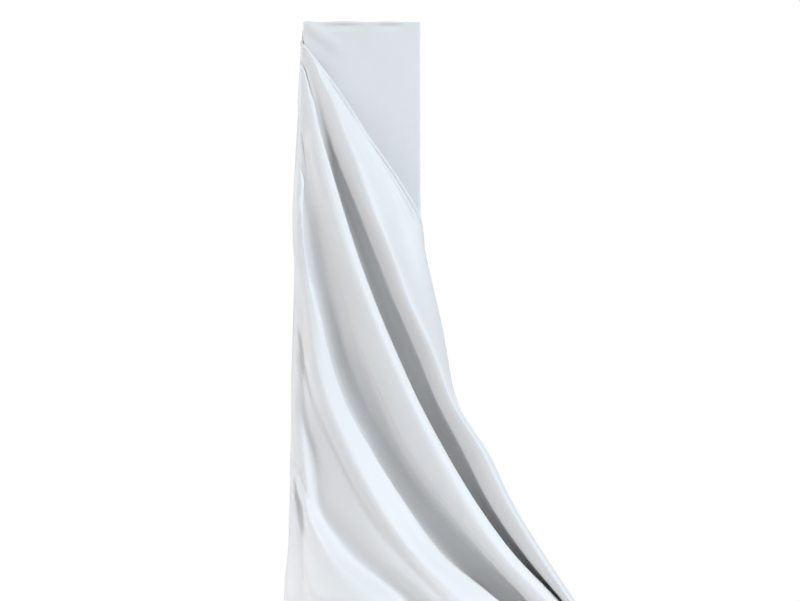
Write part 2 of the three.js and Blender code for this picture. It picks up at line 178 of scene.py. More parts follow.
def lengths(points):
    """How far along the curve each of its points is. For a grid, the same down each column."""
    gaps = np.linalg.norm(np.diff(points, axis=0), axis=-1)
    return np.concatenate([np.zeros_like(gaps[:1]), np.cumsum(gaps, axis=0)])


def read_at(at, along, points):
    """The points read at one or more distances, where along holds each point's own distance."""
    return np.stack([np.interp(at, along, axis) for axis in points.T], axis=-1)


def even_steps(curve, count):
    """The curve's points at even distances along it."""
    along = lengths(curve)
    return read_at(np.linspace(0, along[-1], count), along, curve)


# -------------------------------------------- swag
#
# The swag is designed on the column's unfolded sides, in millimetres. A point is (across, height, lift):
# across runs from the left side (negative) round the front left corner to the front (positive), height is
# over the floor, and lift is the distance out from the side. CORNER either way of 0 bends round the corner.
#
# Each fold line starts at the pleated head on the left side and comes onto the front at its start height.
# Its knots are (height, x, lift), with x measured from the column's middle. Under KNEE it leans out to the
# floor and runs over it to the place land. rise is how high its fold stands on the floor.

CORNER = 10
ROWS = 320
CLOTH = 0.8  # thickness
CLEAR = 0.6  # least distance from the sleeve and the floor
OVER_TOP = 5  # cloth this far over the column's top is still kept out of it
HEAD_FRONT = (-75, 1180)  # the front end of the pleated head, as (across, height)
HEAD_BACK = (-110, 1112)  # its back end
HEAD_LIFT = 1.5
HEAD_TAIL = 11  # how far the pleats run on behind the head, under the clamp strip
KNEE = 123
FLARE_FROM = 300  # below this height the swag stands further out towards the floor
FLARE = 55
SIDE_SPACING = 45  # height between a fold's points on the left side, at least
SWELL = 0.7  # the power by which its lift grows there
FALL_STEPS = 44  # its points between its start and the knee
BEND_HEIGHT = 22  # under the knee it runs on straight down to here
BEND_OUT = 14  # and leans out so much
# Its points on the floor, as (share of the way over it, height, share of rise)
FLOOR_KNOTS = [(0, 9, 1), (0.45, 4, 0.8), (1, 3, 0.3)]
SHIFT_GROWTH = 0.12  # of a line beside another, for each millimetre under its start
SIDE_START = 40  # how far under the head a line on the left side has its first knot
SIDE_FOOT = 5  # height of its lower end
SIDE_POINTS = 34


def head_point(share, past=0):
    """The place at a share of the way from the head's front end to its back end, or so far past the head."""
    front, back = np.array(HEAD_FRONT, float), np.array(HEAD_BACK, float)
    along = (back - front) / np.linalg.norm(back - front)
    across, height = front + (back - front) * share + np.array((along[1], -along[0])) * past
    return (across, height, HEAD_LIFT)


def flare(height):
    return FLARE * (np.maximum(0, FLARE_FROM - height) / FLARE_FROM) ** 2


class Fold:
    """A line of the swag: its x and lift at any height under its start, where it ends on the floor, and the
    height under which it is a crisp edge."""

    def __init__(self, head, start, knots, land, rise, crisp=0):
        self.head, self.start, self.land, self.rise, self.crisp = head, start[0], land, rise, crisp
        self.xs = [(start[0], FRONT)] + [(k[0], k[1]) for k in knots]
        self.lifts = [start] + [(k[0], k[2]) for k in knots]
        self.shift = lambda height: 0
        self.scale, self.cap = 1, None

    def x(self, height):
        return smooth_values(self.xs, height) + self.shift(height)

    def lift(self, height):
        lift = smooth_values(self.lifts, height) * self.scale
        return lift if self.cap is None else np.minimum(lift, smooth_values(self.cap, height))

    def beside(self, head, shift, scale=1, cap=None, land=None, rise=None, lead=0):
        """A line that keeps beside this one: shift is its distance to the right, lead the same at the start,
        and scale its share of the lift. cap holds knots of (height, lift) that the lift stays under."""
        other = Fold(head, (self.start, self.lifts[0][1]), [], land or self.land, rise or self.rise)
        other.xs, other.lifts, other.scale, other.cap = self.xs, self.lifts, scale, cap
        reach = abs(shift)
        sign = math.copysign(1, shift)
        other.shift = lambda height: sign * np.minimum(
            reach, SHIFT_GROWTH * np.maximum(0, self.start - height) + sign * lead
        )
        return other

    def points(self):
        heights = np.linspace(self.start, KNEE, FALL_STEPS)
        xs, lifts = self.x(heights), self.lift(heights) + flare(heights)
        head = np.array(head_point(self.head))
        first = np.array((xs[0] - FRONT + CORNER, heights[0], lifts[0]))
        points = [head_point(self.head, HEAD_TAIL), tuple(head)]
        steps = max(2, int((head[1] - self.start) / SIDE_SPACING))
        for i in range(1, steps):
            share = i / steps
            across, height, _ = head + (first - head) * share
            points.append((across, height, HEAD_LIFT + (lifts[0] - HEAD_LIFT) * share**SWELL))
        points += [(x - FRONT + CORNER, height, out) for x, height, out in zip(xs, heights, lifts)]
        slope = (xs[-1] - xs[-4]) / (heights[-4] - heights[-1])
        bend_x = xs[-1] + slope * (KNEE - BEND_HEIGHT)
        touch, land = np.array((bend_x, FRONT - lifts[-1] - BEND_OUT)), np.array(self.land)
        for way, height, share in FLOOR_KNOTS:
            x, y = touch + (land - touch) * way
            points.append((x - FRONT + CORNER, height + self.rise * share, FRONT - y))
        return np.array(points)


class SideLine:
    """A line that stays on the left side: knots are (height, y, lift)."""

    crisp = 0

    def __init__(self, head, knots):
        self.head, self.knots = head, knots

    def points(self):
        heights = np.linspace(HEAD_BACK[1] - SIDE_START, SIDE_FOOT, SIDE_POINTS)
        ys = smooth_values([(k[0], k[1]) for k in self.knots], heights)
        lifts = smooth_values([(k[0], k[2]) for k in self.knots], heights)
        points = [head_point(self.head, HEAD_TAIL), head_point(self.head)]
        points += [(-(y - FRONT) - CORNER, height, lift) for y, height, lift in zip(ys, heights, lifts)]
        return np.array(points)


def swag_lines():
    """The lines from the swag's upper edge to its hanging edge, each with the steps across to the next."""
    edge = Fold(
        0.0, (1157, 1.7),
        [(1119, -78, 1.9), (1050, -28, 1.9), (982, 15, 1.9), (942, 44, 1.9), (898, 74, 1.9), (868, 92, 1.9),
         (846, 105, 1.9), (825, 113, -4), (740, 122, -24), (640, 138, -48), (480, 172, -82), (300, 250, -125),
         (KNEE, 355, -165)],
        (725, 128), 1, crisp=TOP,
    )
    layer = Fold(
        0.035, (1154, 3.5),
        [(1119, -82, 4.5), (1050, -38, 5), (997, -4, 5.5), (941, 30, 6), (865, 76, 6.5), (800, 106, 7),
         (771, 116, 6), (724, 130, 2), (677, 142, -1), (630, 153, -5), (583, 161, -9), (536, 167, -15),
         (480, 176, -28), (395, 214, -45), (301, 264, -62), (207, 320, -78), (KNEE, 374, -88)],
        (755, 84), 2,
    )
    first_slope = Fold(
        0.065, (1151, 4.5),
        [(1129, -90, 6.5), (1091, -71, 10), (1053, -48, 14), (997, -19, 18), (941, 12, 21), (865, 54, 17),
         (771, 79, 24), (677, 111, 36), (583, 146, 50), (489, 178, 60), (395, 238, 64), (301, 283, 68),
         (207, 340, 72), (KNEE, 396, 74)],
        (796, -20), 22,
    )
    first_crest = Fold(
        0.095, (1147, 5),
        [(1129, -93, 8), (1091, -78, 14), (1053, -58, 23), (997, -36, 33), (941, -13, 41), (865, 12, 49),
         (771, 54, 57), (677, 88, 64), (583, 131, 70), (489, 167, 76), (395, 224, 81), (301, 271, 86),
         (207, 330, 91), (KNEE, 386, 93)],
        (796, -48), 32,
    )
    first_lip = Fold(
        0.125, (1136, 4.5),
        [(1091, -94, 7), (1053, -82, 10), (997, -64, 15), (941, -45, 20), (865, -14, 27), (771, 23, 33),
         (677, 60, 38), (583, 101, 43), (489, 140, 49), (395, 189, 54), (301, 237, 59), (207, 301, 64),
         (KNEE, 370, 69)],
        (800, -92), 14, crisp=1050,
    )
    second_edge = Fold(
        0.18, (1112, 4.5),
        [(1091, -101, 7), (1053, -91, 12), (997, -78, 17), (941, -62, 22), (865, -39.5, 29), (771, -10, 36),
         (677, 24.5, 42), (583, 64, 47), (489, 107, 51), (395, 157, 55), (301, 213.5, 59), (207, 282, 63),
         (KNEE, 364, 67)],
        (796, -146), 24, crisp=1050,
    )
    second_lip = Fold(
        0.29, (985, 11),
        [(941, -97, 17), (865, -78, 26), (771, -51, 34), (677, -23, 40), (583, 1, 45), (489, 40, 49),
         (395, 85, 53), (301, 148, 58), (207, 226, 64), (KNEE, 306, 69)],
        (756, -208), 16, crisp=TOP,
    )
    second_floor = Fold(
        0.37, (975, 9),
        [(865, -93, 14), (771, -78, 12), (720, -68, 13), (677, -57, 16), (583, -40, 17), (489, -8, 16),
         (395, 44, 16), (301, 108, 15), (207, 196, 12), (KNEE, 288, 10)],
        (734, -236), 3,
    )
    second_foot = Fold(
        0.4, (965, 8),
        [(865, -104, 9), (771, -94, 7), (720, -85, 6), (677, -74, 6), (583, -54, 4), (489, -24, 3),
         (395, 29, 3), (301, 88, 3), (207, 158, 4), (KNEE, 262, 6)],
        (724, -244), 2,
    )
    third_edge = Fold(
        0.45, (900, 14),
        [(865, -110, 17), (771, -103, 21), (720, -94, 24), (677, -82, 27), (583, -62, 33), (489, -31, 39),
         (395, 20, 46), (301, 80, 53), (207, 149, 60), (KNEE, 251, 66)],
        (692, -272), 18, crisp=640,
    )
    third_band = Fold(
        0.475, (842, 20),
        [(771, -107, 23), (720, -100, 26), (677, -90, 30), (583, -70, 39), (489, -41, 46), (395, 6, 54),
         (301, 61, 62), (207, 128, 70), (KNEE, 220, 77)],
        (668, -284), 22,
    )
    third_crest = Fold(
        0.51, (740, 24),
        [(677, -105, 33), (583, -98, 47), (489, -71, 60), (395, -31, 70), (301, 21, 80), (207, 92, 90),
         (KNEE, 176, 93)],
        (644, -295), 26,
    )
    third_crease = Fold(
        0.56, (610, 16),
        [(583, -106, 20), (489, -86, 38), (395, -46, 50), (301, 4, 60), (207, 68, 70), (KNEE, 148, 83)],
        (582, -314), 13,
    )
    third_ridge = Fold(
        0.59, (560, 19),
        [(489, -98, 34), (395, -64, 47), (301, -18, 58), (207, 44, 70), (KNEE, 130, 82)],
        (540, -322), 18,
    )
    third_foot = Fold(
        0.635, (500, 20),
        [(440, -103, 17), (395, -90, 17), (350, -86, 19), (301, -83, 22), (207, -20, 33), (KNEE, 88, 46)],
        (442, -330), 8,
    )
    fourth_edge = Fold(
        0.665, (430, 24),
        [(395, -108, 28), (350, -105, 33), (301, -98, 39), (207, -44, 53), (KNEE, 56, 64)],
        (398, -336), 18,
    )
    fourth_crest = Fold(
        0.7, (340, 27),
        [(301, -109, 41), (207, -74, 66), (KNEE, 12, 84)],
        (300, -344), 24,
    )
    left_crease = Fold(0.74, (290, 21), [(207, -106, 38), (160, -98, 48), (KNEE, -84, 56)], (128, -330), 10)
    fifth_crest = Fold(0.78, (240, 27), [(160, -106, 34), (KNEE, -104, 40)], (8, -298), 18)
    corner_fold = Fold(0.8, (190, 24), [(160, -110, 25), (KNEE, -108, 29)], (-62, -236), 14)

    # Caps on the lift in the hollows, as (height, lift)
    slot = [(1140, 5), (1050, 9), (997, 10), (941, 7), (880, 1), (677, 0), (489, 2), (395, 6), (207, 10),
            (KNEE, 8)]
    low = [(960, 8), (865, 12), (771, 12), (700, 6), (640, 2), (301, 3), (KNEE, 6)]
    soft_low = [(450, 24), (395, 27), (350, 29), (301, 31), (207, 40), (KNEE, 50)]
    step = [(985, 9), (865, 20), (771, 27), (677, 32), (583, 36), (489, 38), (395, 38), (301, 34), (207, 22),
            (KNEE, 14)]
    return [
        (edge, 14),
        (layer, 12),
        (first_slope, 10),
        (first_crest, 12),
        (first_lip, 5),
        (first_lip.beside(0.14, -4, cap=slot, land=(800, -104), rise=2, lead=-1), 8),
        (second_edge.beside(0.15, -17, cap=slot, land=(800, -120), rise=2, lead=3), 4),
        (second_edge.beside(0.165, -20, 0.4, land=(798, -136), rise=8, lead=1.5), 6),
        (second_edge, 4),
        (second_edge.beside(0.195, -8, 1.17, lead=-2), 6),
        (second_edge.beside(0.22, -24, 1.28, lead=-5), 8),
        (second_lip, 5),
        (second_lip.beside(0.32, -6, cap=step, land=(748, -218), rise=6, lead=-3), 12),
        (second_floor, 6),
        (second_foot, 5),
        (third_edge.beside(0.42, -12, cap=low, land=(712, -256), rise=2, lead=3), 4),
        (third_edge.beside(0.435, -14, 0.45, land=(702, -264), rise=7, lead=1.5), 5),
        (third_edge, 5),
        (third_band, 8),
        (third_crest, 10),
        (third_crease, 8),
        (third_ridge, 12),
        (third_foot, 5),
        (fourth_edge.beside(0.65, 8, cap=soft_low, land=(410, -334), rise=2), 5),
        (fourth_edge, 10),
        (fourth_crest, 12),
        (left_crease, 8),
        (fifth_crest, 4),
        (corner_fold, 5),
        (SideLine(0.82, [(1072, -22, 2), (700, -70, 6), (500, -91, 11), (300, -101, 21), (100, -106, 28),
                         (5, -112, 46)]), 8),
        (SideLine(0.865, [(1072, -19.5, 4), (700, -57, 13), (583, -64, 12), (433, -71, 28), (300, -74, 30),
                          (100, -78, 35), (5, -84, 54)]), 8),
        (SideLine(0.91, [(1072, -16, 2), (700, -42, 4), (300, -46, 6), (100, -46, 12), (5, -46, 24)]), 8),
        (SideLine(0.955, [(1072, -12, 5), (700, -20, 13), (300, -16, 19), (100, -12, 28), (5, -10, 42)]), 8),
        (SideLine(1.0, [(1072, -4, 2), (700, 2, 5), (300, 8, 8), (100, 12, 12), (5, 16, 22)]), 0),
    ]


SOFTENING = 26  # passes that round the ridges and valleys off
CRISP_REACH = 4  # columns beside a crisp edge that the softening spares, more and more
CRISP_BLEND = 80  # height over which a crisp edge turns soft
FINE_CREASE = 0.5  # mm
FINE_BLEND = 20  # rows under the head in which the creases grow
TRAIN_TOP = 40  # cloth under this height is on the floor, as the train
TRAIN_FROM = 40  # how far beyond FLARE its wrinkles start
TRAIN_BLEND = 120  # distance in which they grow
TRAIN_WRINKLE = 16  # their height
TRAIN_WANDER = 14  # how far the outline wanders
TRAIN_PATTERN = 0.011  # of both, for each millimetre


def soften(flat, crisp_columns):
    """Rounds the folds off across the cloth, but not at the crisp edges or along the cloth's own edges.
    crisp_columns holds (column, height under which its edge is crisp)."""
    columns = np.arange(flat.shape[1])
    heights = flat[..., 1]
    apart = np.tile(np.minimum(columns, columns[-1] - columns), (len(flat), 1)).astype(float)
    for column, top in crisp_columns:
        blunt = CRISP_REACH * np.clip((heights[:, column] - top) / CRISP_BLEND, 0, 1)[:, None]
        apart = np.minimum(apart, np.abs(columns - column) + blunt)
    share = 0.5 * np.minimum(1, apart / CRISP_REACH)[:, 1:-1, None]
    for _ in range(SOFTENING):
        between = (flat[:, :-2] + flat[:, 2:]) / 2
        flat[:, 1:-1] += share * (between - flat[:, 1:-1])
    return flat


def crease(flat):
    """Adds fine creases that run down the folds, in the lift, and the train's wrinkles, in its height and
    its outline."""
    rows, columns = flat.shape[:2]
    for i in range(rows):
        for j in range(columns):
            along, across = i / rows, j / columns
            fine = noise.noise((across * 70, along * 5.5, 3.1))
            fine += 0.6 * noise.noise((across * 150, along * 9, 8.4))
            flat[i, j, 2] += FINE_CREASE * min(1, i / FINE_BLEND) * fine
            run = min(1, max(0, flat[i, j, 2] - FLARE - TRAIN_FROM) / TRAIN_BLEND)
            run *= flat[i, j, 1] < TRAIN_TOP
            if run > 0:
                x, y = flat[i, j, 0] * TRAIN_PATTERN, flat[i, j, 2] * TRAIN_PATTERN
                flat[i, j, 1] += run * TRAIN_WRINKLE * max(0, 0.25 + noise.noise((x * 0.9, y * 1.6, 1.7)))
                flat[i, j, 0] += run * TRAIN_WANDER * noise.noise((x * 0.5, y * 0.5, 6.2))
                flat[i, j, 2] += run * TRAIN_WANDER * noise.noise((x * 0.6, y * 0.4, 9.5))
    return flat


def keep_out(points, distance):
    """Moves points out of the column and up off the floor by the distance."""
    reach = HALF + distance
    x, y, z = points[..., 0], points[..., 1], points[..., 2]
    inside = (np.abs(x) < reach) & (np.abs(y) < reach) & (z < TOP + OVER_TOP)
    gaps = np.stack([x + reach, reach - x, y + reach], axis=-1)
    nearest = gaps.argmin(axis=-1)
    points[..., 0] = np.where(inside & (nearest == 0), -reach, points[..., 0])
    points[..., 0] = np.where(inside & (nearest == 1), reach, points[..., 0])
    points[..., 1] = np.where(inside & (nearest == 2), -reach, points[..., 1])
    points[..., 2] = np.maximum(points[..., 2], distance)
    return points


def fold_round_corner(flat):
    """From the unfolded sides (across, height, lift) to x, y, z."""
    across, height, lift = flat[..., 0], flat[..., 1], flat[..., 2]
    angle = np.clip((across + CORNER) / (2 * CORNER), 0, 1) * math.pi / 2
    x = FRONT - lift * np.cos(angle) + np.maximum(0, across - CORNER)
    y = FRONT - lift * np.sin(angle) + np.maximum(0, -across - CORNER)
    return np.stack([x, y, height], axis=-1)


def surface_normals(grid):
    down = np.gradient(grid, axis=0)
    across = np.gradient(grid, axis=1)
    normal = np.cross(across, down)
    return normal / np.maximum(np.linalg.norm(normal, axis=-1, keepdims=True), 1e-9)


def cloth_places(grid):
    """Each grid point's place on the flat cloth, in metres: its distance across and its distance down."""
    return np.stack([lengths(grid.transpose(1, 0, 2)).T, lengths(grid)], axis=-1) * MM


def cloth_piece(name, outer, inner, faces):
    """The piece whose faces join two grids of the same shape, in millimetres."""
    piece = link_mesh(name, np.concatenate([outer.reshape(-1, 3), inner.reshape(-1, 3)]) * MM, faces)
    outward_faces(piece)
    places = cloth_places(outer).reshape(-1, 2)
    set_uv(piece, np.concatenate([places, places]))
    return piece


def shell(name, outer, inner):
    """A closed sheet between two grids."""
    rows, columns = outer.shape[:2]
    second = rows * columns
    faces = grid_faces(rows, columns, flip=True) + grid_faces(rows, columns, start=second)
    rim = list(range(columns))
    rim += [i * columns + columns - 1 for i in range(1, rows)]
    rim += [(rows - 1) * columns + j for j in range(columns - 2, -1, -1)]
    rim += [i * columns for i in range(rows - 2, 0, -1)]
    for a, b in zip(rim, rim[1:] + rim[:1]):
        faces.append((a, b, b + second, a + second))
    return cloth_piece(name, outer, inner, faces)


def closed_band(name, outer, inner):
    """A closed sheet between two grids whose rows are rings."""
    rows, count = outer.shape[:2]
    second = rows * count
    faces = []
    for i in range(rows - 1):
        for j in range(count):
            a, b = i * count + j, i * count + (j + 1) % count
            faces.append((a, b, b + count, a + count))
            faces.append((second + a, second + a + count, second + b + count, second + b))
    for j in range(count):
        a, b = j, (j + 1) % count
        faces.append((b, a, second + a, second + b))
        a, b = a + (rows - 1) * count, b + (rows - 1) * count
        faces.append((a, b, second + b, second + a))
    return cloth_piece(name, outer, inner, faces)


PLEATS = 11  # in the head
PLEAT_FOLD = 0.75  # the share of a pleat that rises, before it folds back
PLEAT_HEIGHTS = [(-12, 0.3), (0, 0.4), (8, 1.6), (30, 2.6), (80, 1.4), (140, 0)]  # by distance from the head


def pleat(flat, shares):
    """Adds the head's knife pleats, in the lift. shares gives each column's place along the head."""
    turn = (shares * PLEATS) % 1
    wave = np.where(turn < PLEAT_FOLD, turn / PLEAT_FOLD, (1 - turn) / (1 - PLEAT_FOLD))
    flat[..., 2] += smooth_values(PLEAT_HEIGHTS, lengths(flat) - HEAD_TAIL) * wave
    return flat


def swag_grid():
    """The swag's outer side, in rows from the head down to the floor."""
    lines = swag_lines()
    curves = [even_steps(spline(line.points(), 8), ROWS) for line, _ in lines]
    counts = [count for _, count in lines[:-1]]
    flat = spline(np.array(curves), counts).transpose(1, 0, 2)
    places = np.concatenate([[0], np.cumsum(counts)])
    flat = soften(flat, [(place, line.crisp) for place, (line, _) in zip(places, lines) if line.crisp])
    shares = np.interp(np.arange(flat.shape[1]), places, [line.head for line, _ in lines])
    return keep_out(fold_round_corner(pleat(crease(flat), shares)), CLEAR + CLOTH)


# A hem's section, as (distance in from the cloth's edge, height over its outer side)
HEM_SECTION = [(5.2, 0), (4.9, 0.1), (3, 0.16), (1.0, 0.3), (0, 0.28), (-0.6, 0.0), (-0.85, -0.45),
               (-0.6, -0.9), (0, -1.2), (3, -1.1), (4.9, -1.0), (5.2, -0.8)]
HEM_CLEAR = 0.15  # least distance from the sleeve and the floor
STITCH_LINE = (4.1, 0.17)  # where the hem's stitches run, in the same way
STITCH_PITCH = 4.4
STITCH_LENGTH = 3.2
STITCH_RADIUS = 0.22
STITCH_SIDES = 6
# A stitch's rings, as (place along it, share of its radius, rise in radii)
STITCH_RINGS = [(-0.5, 0.1, -0.3), (-0.32, 0.8, 0), (0, 1, 0.15), (0.32, 0.8, 0), (0.5, 0.1, -0.3)]


def offset_point(strip, normals, inwards, out):
    """The place at a distance inwards from the cloth's edge, where the strip starts, and out from it."""
    along = lengths(strip)
    if inwards < 0:
        across = (strip[0] - strip[1]) / max(along[1], 1e-6)
        return strip[0] - across * inwards + normals[0] * out
    return read_at(inwards, along, strip) + read_at(inwards, along, normals) * out


def make_hem(name, grid, normals):
    """A folded hem and its stitches along the grid's first column, on top of the cloth."""
    section = np.array([[offset_point(strip, around, *place) for place in HEM_SECTION]
                        for strip, around in zip(grid, normals)])
    section = keep_out(section, HEM_CLEAR)
    hem = link_mesh(name, section.reshape(-1, 3) * MM, tube_faces(*section.shape[:2]))
    outward_faces(hem)
    set_uv(hem, cloth_places(section).reshape(-1, 2))
    line = np.array([offset_point(strip, around, *STITCH_LINE) for strip, around in zip(grid, normals)])
    threads = make_stitches(name + "_stitches", line, normals[:, 2])
    return [hem, threads]


def make_stitches(name, line, normals):
    """A row of short threads along a line on the cloth, each dipping into it at both ends."""
    along = lengths(line)
    vertices, faces = [], []
    for k in range(int(along[-1] / STITCH_PITCH)):
        middle = (k + 0.5) * STITCH_PITCH
        start = len(vertices)
        for share, width, rise in STITCH_RINGS:
            at = middle + share * STITCH_LENGTH
            point, ahead = read_at(at, along, line), read_at(at + 0.5, along, line)
            up = read_at(at, along, normals)
            side = np.cross(ahead - point, up)
            side /= max(np.linalg.norm(side), 1e-9)
            for turn in range(STITCH_SIDES):
                angle = 2 * math.pi * turn / STITCH_SIDES
                spread = side * math.cos(angle) + up * math.sin(angle)
                vertices.append((point + up * rise * STITCH_RADIUS + spread * width * STITCH_RADIUS) * MM)
        faces += tube_faces(len(STITCH_RINGS), STITCH_SIDES, start)
    threads = link_mesh(name, vertices, faces)
    outward_faces(threads)
    threads.data.materials.append(thread_look())
    return threads


SWAG_WHITE = (0.73, 0.73, 0.73)
SLEEVE_WHITE = (0.762, 0.762, 0.768)


def make_swag():
    grid = swag_grid()
    normals = surface_normals(grid)
    swag = shell("swag_cloth", grid, keep_out(grid - normals * CLOTH, CLEAR))
    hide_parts("swag")
    look = satin("swag_satin_look", SWAG_WHITE, 0.012)
    pieces = make_hem("swag_hem_upper", grid, normals)
    pieces += make_hem("swag_hem_back", grid[:, ::-1], normals[:, ::-1])
    pieces += make_hem("swag_hem_floor", grid[::-1].transpose(1, 0, 2), normals[::-1].transpose(1, 0, 2))
    for piece in [swag] + pieces:
        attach(piece, "column")
        if not piece.data.materials:
            piece.data.materials.append(look)


# -------------------------------------------- fitted sleeve

SLEEVE_FOOT = SLEEVE_LOW.z / MM
SLEEVE_LIP = 15  # how far it turns in over the top
SLEEVE_CLOTH = 0.8
ARRIS = 2.2  # radius of its edges
ARRIS_STEPS = 4
SIDE_STEPS = 44
CORNER_STEPS = 5
LEAST_RADIUS = 0.8  # of a ring's corners
PUCKERS = [(-78, -31, 8), (22, 50, 84)]  # under the front's top edge: left end, deepest place and right end
PUCKER_RISE, PUCKER_DIP = 1.9, 1.3  # at the edge and under it
HOLLOW = [(-110, 1174), (-62, 1138)]  # the slanting hollow over the swag's head, as (x, height)
HOLLOW_RISE, HOLLOW_DIP = 2.2, 1.3  # over it and in it


def square_ring(half, radius):
    """Places round a square with rounded corners, anticlockwise from the front's left end, and the outward
    direction at each."""
    straight = half - radius
    places, outward = [], []
    for side in range(4):
        cos, sin = (1, 0, -1, 0)[side], (0, 1, 0, -1)[side]
        made = [(straight * (2 * k / SIDE_STEPS - 1), -half, 0, -1) for k in range(SIDE_STEPS + 1)]
        for k in range(1, CORNER_STEPS):
            angle = math.pi / 2 * (k / CORNER_STEPS - 1)
            c, s = math.cos(angle), math.sin(angle)
            made.append((straight + radius * c, radius * s - straight, c, s))
        for x, y, nx, ny in made:
            places.append((x * cos - y * sin, x * sin + y * cos, 0))
            outward.append((nx * cos - ny * sin, nx * sin + ny * cos, 0))
    return np.array(places), np.array(outward)


def bump(value, middle, width):
    return np.exp(-(((value - middle) / width) ** 2))


def front_relief(x, height):
    """How far the front of the sleeve stands out at the puckers and at the slanting hollow."""
    relief = 0
    for left, deepest, right in PUCKERS:
        reach = deepest - left if x < deepest else right - deepest
        lens = max(0, 1 - ((x - deepest) / reach) ** 2)
        relief += lens * PUCKER_RISE * bump(height, TOP - 2, 3.5)
        relief -= lens * PUCKER_DIP * bump(height, TOP - 9, 6)
    (x0, z0), (x1, z1) = HOLLOW
    length = math.hypot(x1 - x0, z1 - z0)
    share = ((x - x0) * (x1 - x0) + (height - z0) * (z1 - z0)) / length**2
    over = ((x - x0) * (z0 - z1) + (height - z0) * (x1 - x0)) / length
    fade = smooth_values([(-0.2, 1), (0.6, 1), (1.5, 0)], share)
    return relief + fade * (HOLLOW_RISE * bump(over, 22, 11) - HOLLOW_DIP * bump(over, 0, 9))


def sleeve_relief(x, y, height):
    relief = 0.2 + 0.9 * noise.noise((x * 0.018, y * 0.018, height * 0.011))
    relief += 0.3 * noise.noise((x * 0.045 + 9, y * 0.045, height * 0.03))
    if y < -HALF + 1:
        relief += front_relief(x, height) * min(1, (HALF - abs(x)) / 8)
    return max(-1.0, relief)


def sleeve_profile():
    """Rows up the outside, closer near the top, over it and in to the lip's edge, as (half width, height,
    outward, upward)."""
    rows = [(HALF - 0.5, SLEEVE_FOOT, 0, -1), (HALF - 0.1, SLEEVE_FOOT + 0.3, 1, 0)]
    wall_top = TOP - ARRIS
    heights = list(np.linspace(SLEEVE_FOOT + 1.5, TOP - 120, 90)) + list(np.linspace(TOP - 116, TOP - 24, 28))
    heights += list(np.linspace(TOP - 22, wall_top, 14))
    rows += [(HALF, height, 1, 0) for height in heights]
    for k in range(1, ARRIS_STEPS + 1):
        angle = math.pi / 2 * k / ARRIS_STEPS
        c, s = math.cos(angle), math.sin(angle)
        rows.append((HALF - ARRIS + ARRIS * c, wall_top + ARRIS * s, c, s))
    rows += [(half, TOP, 0, 1) for half in np.linspace(HALF - ARRIS - 1.5, HALF - SLEEVE_LIP + 0.6, 7)]
    rows.append((HALF - SLEEVE_LIP + 0.1, TOP - 0.25, -1, 0))
    return rows


def make_sleeve():
    outer, inner = [], []
    for half, height, out, up in sleeve_profile():
        places, outward = square_ring(half, max(LEAST_RADIUS, ARRIS - (HALF - half)))
        at = places + np.array((0, 0, height))
        relief = np.array([sleeve_relief(x, y, height) for x, y, _ in places]) * (out > 0.5)
        direction = outward * out + np.array((0, 0, up))
        outer.append(at + direction * relief[:, None])
        inner.append(outer[-1] - direction * SLEEVE_CLOTH)
    # The first and last rows are the cloth's cut edges, so its two sides meet in the row beside them.
    inner[0] = outer[0] - square_ring(HALF, ARRIS)[1] * 0.3
    inner[-1] = outer[-1] - np.array((0, 0, 0.35))
    sleeve = closed_band("sleeve_cloth", np.array(outer), np.array(inner))
    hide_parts("fitted_sleeve")
    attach(sleeve, "column")
    sleeve.data.materials.append(satin("sleeve_satin_look", SLEEVE_WHITE, 0.016))
    height = (TOP - SLEEVE_FOOT + SLEEVE_LIP) * MM


# -------------------------------------------- lid cover, placket and felt

LID_ROUND = 1.6  # radius of its edges
LID_STEPS = 3
HOLE_ROUND = 0.35  # how much wider the cover's hole is than the eyelet
HOLE_EDGE = [(0, 1.0), (0.01, 0.5), (0.025, 0.2), (0.05, 0.08)]  # (share of the way out, drop)


def make_lid_cover():
    low, high = (np.array(corner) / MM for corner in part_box("lid_cover"))
    ring_low, ring_high = (np.array(corner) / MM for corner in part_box("lid_grommet"))
    half, foot = high[0], low[2]
    centre = (ring_low + ring_high) / 2
    radius = (ring_high[0] - ring_low[0]) / 2 + HOLE_ROUND
    flat_half = half - LID_ROUND
    edge = square_ring(flat_half, LEAST_RADIUS)[0]
    away = edge[:, :2] - centre[:2]
    away /= np.linalg.norm(away, axis=1, keepdims=True)
    hole = np.concatenate([centre[:2] + away * radius, np.zeros((len(edge), 1))], axis=1)
    outer, inner = [], []
    for share, drop in HOLE_EDGE + [(k / 16, 0) for k in range(1, 17)]:
        places = hole + (edge - hole) * share
        sag = [0.12 * noise.noise((x * 0.03, y * 0.03, 4.2)) * (0.05 < share < 1) for x, y, _ in places]
        places[:, 2] = high[2] - drop + np.array(sag)
        outer.append(places)
        inner.append(outer[-1] - np.array((0, 0, SLEEVE_CLOTH - 0.5 * min(1, drop))))
    for k in range(1, LID_STEPS + 1):
        angle = math.pi / 2 * k / LID_STEPS
        c, s = math.cos(angle), math.sin(angle)
        places, outward = square_ring(flat_half + LID_ROUND * s, LEAST_RADIUS + LID_ROUND * s)
        direction = outward * s + np.array((0, 0, c))
        outer.append(places + np.array((0, 0, high[2] - LID_ROUND + LID_ROUND * c)))
        inner.append(outer[-1] - direction * SLEEVE_CLOTH)
    for height in np.linspace(high[2] - LID_ROUND - 2, foot, 5):
        outer.append(outer[-1] * np.array((1, 1, 0)) + np.array((0, 0, height)))
        inner.append(outer[-1] - outward * SLEEVE_CLOTH)
    cover = closed_band("lid_cloth", np.array(outer), np.array(inner))
    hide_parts("lid_cover")
    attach(cover, "lid")
    cover.data.materials.append(bpy.data.materials["sleeve_satin_look"])


